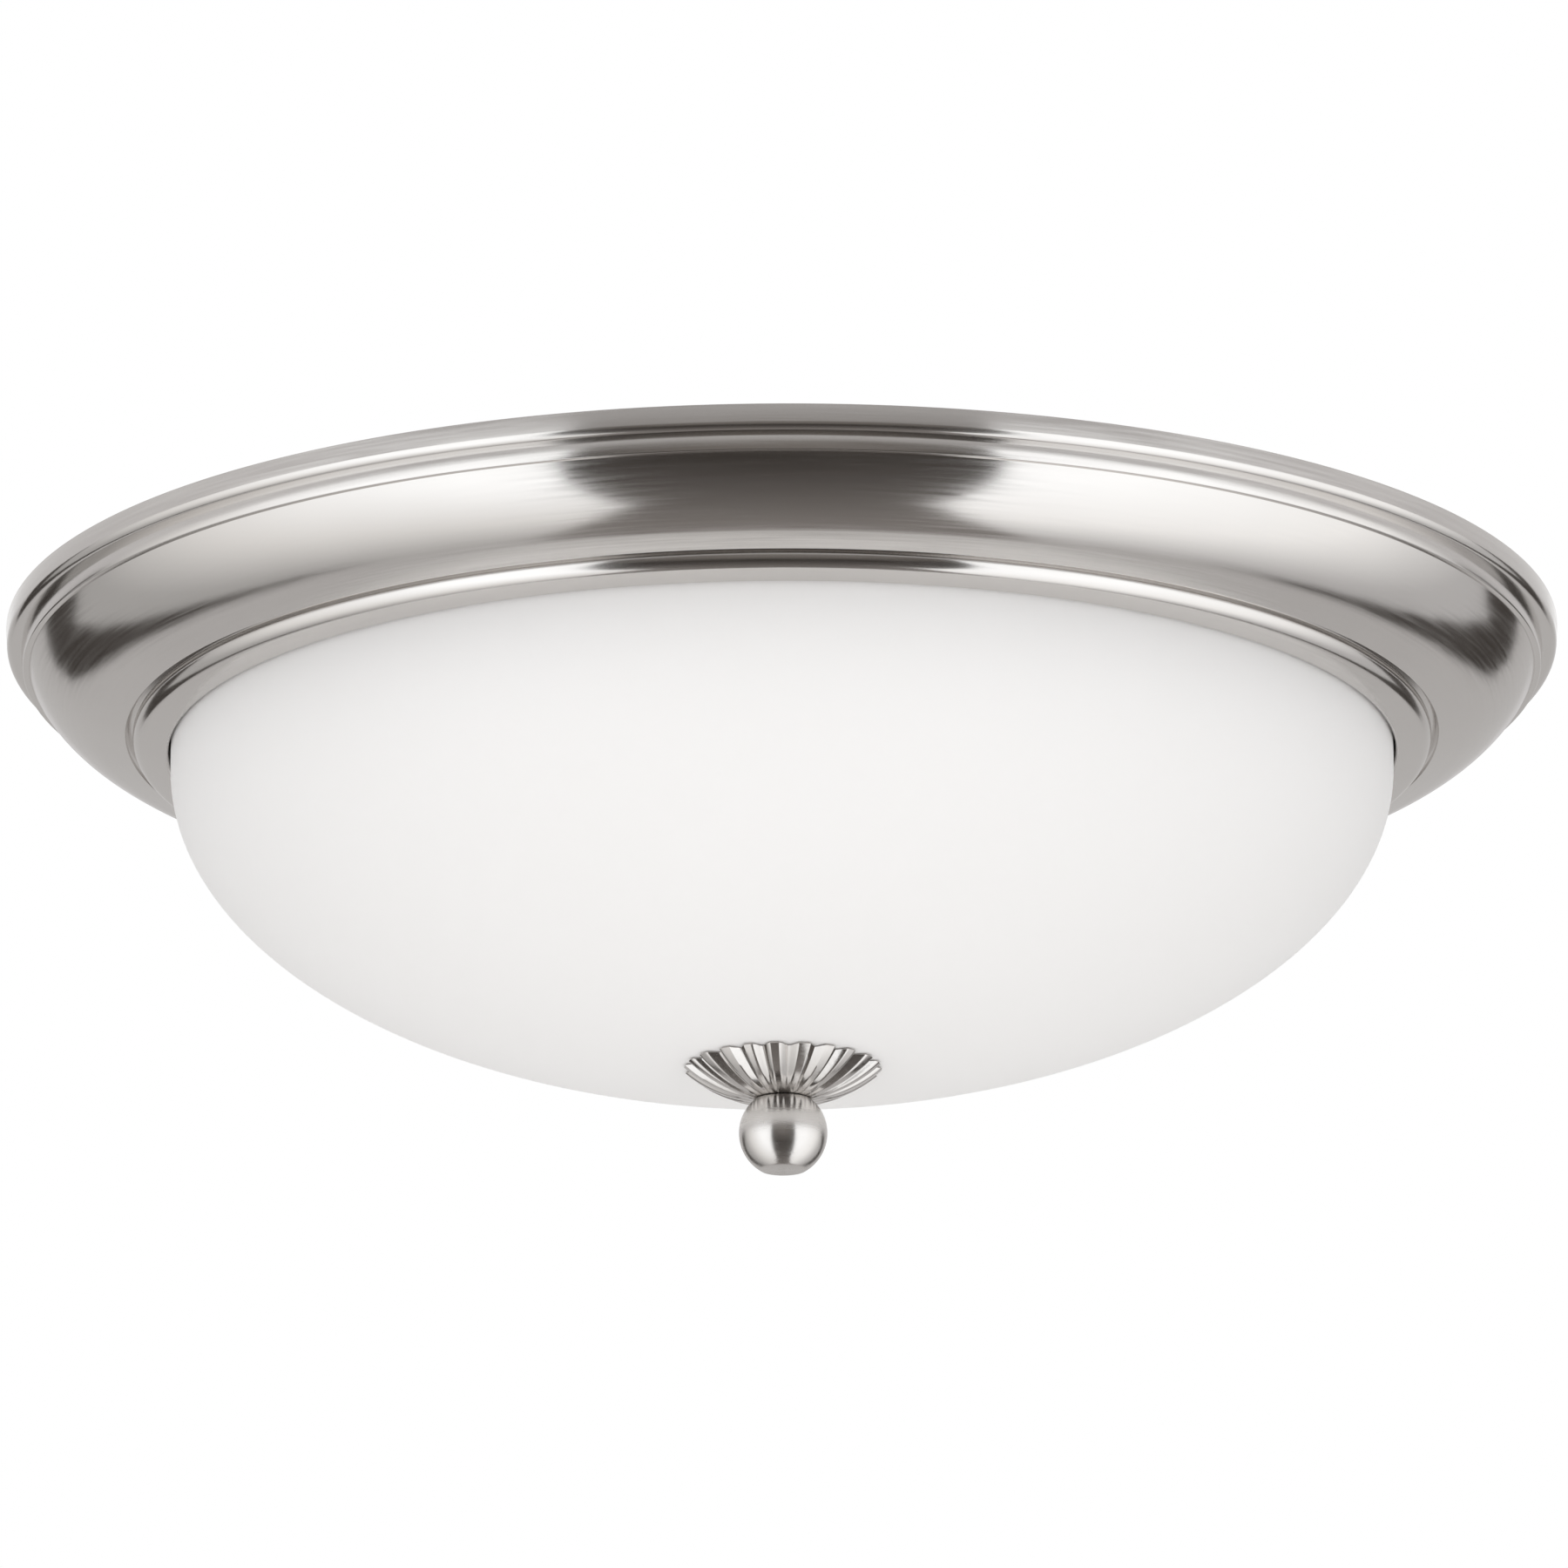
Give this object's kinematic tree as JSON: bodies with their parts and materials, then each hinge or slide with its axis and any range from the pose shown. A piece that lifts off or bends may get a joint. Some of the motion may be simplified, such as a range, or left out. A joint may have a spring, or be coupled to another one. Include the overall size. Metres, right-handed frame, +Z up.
{
  "type": "ceiling light",
  "caption": "Flush ceiling light with a brushed nickel pan, satin white glass bowl, fluted cup and ball finial, and lamps inside.",
  "frame": {"origin": "middle of the outlet-box strap's top face, in the ceiling plane", "axes": "+Z up into the ceiling, +X along the strap and the lamps, the light hangs towards -Z"},
  "size_m": [0.3364, 0.3364, 0.1197],
  "materials": {
    "brushed_nickel": "spun and brushed nickel plate",
    "opal_glass": "satin white opal",
    "glass_fibre": "loose fibre",
    "zinc_steel": "bright zinc plate",
    "green_screw": "green coated",
    "porcelain": "clear glaze",
    "shell_metal": "pressed",
    "spring_brass": "rolled",
    "bushing_plastic": "moulded",
    "black_lead": "extruded",
    "white_lead": "extruded",
    "connector_plastic": "moulded",
    "grommet_rubber": "moulded",
    "frosted_glass": "soft white inside coat",
    "cap_metal": "rolled thread",
    "cap_insulator": "black glass",
    "solder": "solder"
  },
  "bodies": {
    "fixture": {"ceiling_pan": "brushed_nickel", "insulation_pad": "glass_fibre", "mounting_strap": "zinc_steel", "pan_screws": "zinc_steel", "centre_rod": "zinc_steel", "rod_nut_upper": "zinc_steel", "rod_nut_lower": "zinc_steel", "rod_lock_washer": "zinc_steel", "socket_bracket_left": "zinc_steel", "socket_bracket_right": "zinc_steel", "bracket_rivets": "zinc_steel", "socket_screws": "zinc_steel", "ground_screw": "green_screw", "socket_body_left": "porcelain", "socket_body_right": "porcelain", "socket_shell_left": "shell_metal", "socket_shell_right": "shell_metal", "socket_contact_left": "spring_brass", "socket_contact_right": "spring_brass", "wire_bushings": "bushing_plastic", "live_lead_left": "black_lead", "live_lead_right": "black_lead", "neutral_lead_left": "white_lead", "neutral_lead_right": "white_lead", "wire_connectors": "connector_plastic"},
    "bowl": {"glass_bowl": "opal_glass"},
    "cup": {"finial_cup": "brushed_nickel", "bowl_grommet": "grommet_rubber"},
    "ball": {"ball_finial": "brushed_nickel"},
    "bulb_left": {"bulb_glass_left": "frosted_glass", "bulb_cap_left": "cap_metal", "bulb_insulator_left": "cap_insulator", "bulb_contact_left": "solder"},
    "bulb_right": {"bulb_glass_right": "frosted_glass", "bulb_cap_right": "cap_metal", "bulb_insulator_right": "cap_insulator", "bulb_contact_right": "solder"}
  },
  "joints": [
    {"name": "bowl_lower", "type": "slide", "parent": "fixture", "child": "bowl", "axis": [0, 0, -1], "range_m": [0, 0.13]},
    {"name": "finial_travel", "type": "slide", "parent": "bowl", "child": "cup", "axis": [0, 0, -1], "range_m": [0, 0.0127]},
    {"name": "finial_turn", "type": "hinge", "parent": "cup", "child": "ball", "pos_m": [0, 0, -0.11], "axis": [0, 0, -1], "range_deg": [0, 3600]},
    {"name": "bulb_left_unscrew", "type": "slide", "parent": "fixture", "child": "bulb_left", "axis": [1, 0, 0], "range_m": [0, 0.028]},
    {"name": "bulb_right_unscrew", "type": "slide", "parent": "fixture", "child": "bulb_right", "axis": [-1, 0, 0], "range_m": [0, 0.028]}
  ],
  "couplings": [
    {"joint": "finial_turn", "follows": "finial_travel", "rad_per_m": 4947.4}
  ]
}
